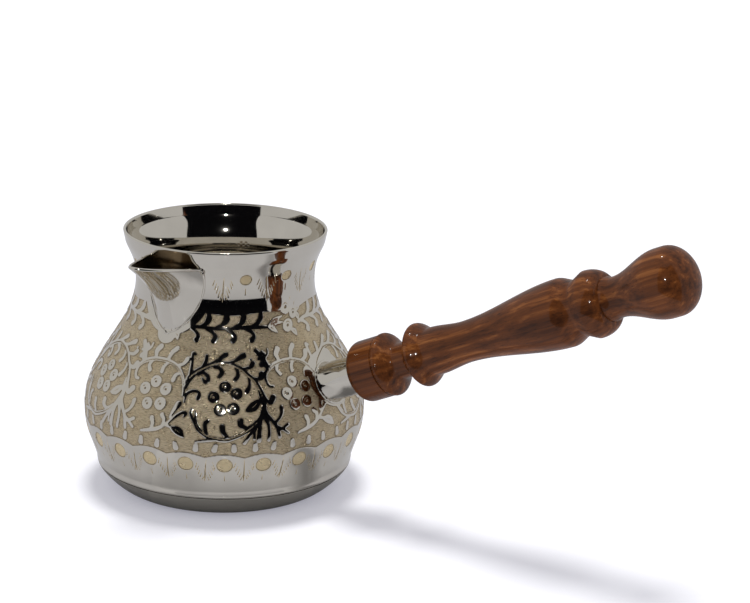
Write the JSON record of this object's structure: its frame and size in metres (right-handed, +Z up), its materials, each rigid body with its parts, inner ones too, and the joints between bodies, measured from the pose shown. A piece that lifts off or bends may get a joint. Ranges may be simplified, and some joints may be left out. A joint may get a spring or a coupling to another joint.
{
  "type": "turkish coffee pot cezve",
  "caption": "Bellied metal coffee pot with an engraved body, a flared open rim, a side pouring beak and a long turned wooden handle that slopes upwards.",
  "frame": {"origin": "centre of the flat base, on the surface that the pot stands on", "axes": "+Z up along the pot's axis, +X horizontally towards the handle, -Y towards the spout"},
  "size_m": [0.2305, 0.1032, 0.1136],
  "materials": {
    "nickel_plate": "polished nickel plate over brass, engraved so that the brass shows between raised flowers and leaves",
    "nickel_plate_plain": "polished nickel plate over brass",
    "brass": "turned, unplated",
    "steel": "zinc-plated threaded rod",
    "lacquered_wood": "dark reddish-brown hardwood under gloss lacquer, grain along the handle"
  },
  "bodies": {
    "root": {"pot_body": "nickel_plate", "pot_base": "nickel_plate_plain", "spout": "nickel_plate_plain", "handle_socket": "nickel_plate_plain", "socket_plug": "brass", "handle_stud": "steel", "wooden_handle": "lacquered_wood"}
  },
  "joints": []
}
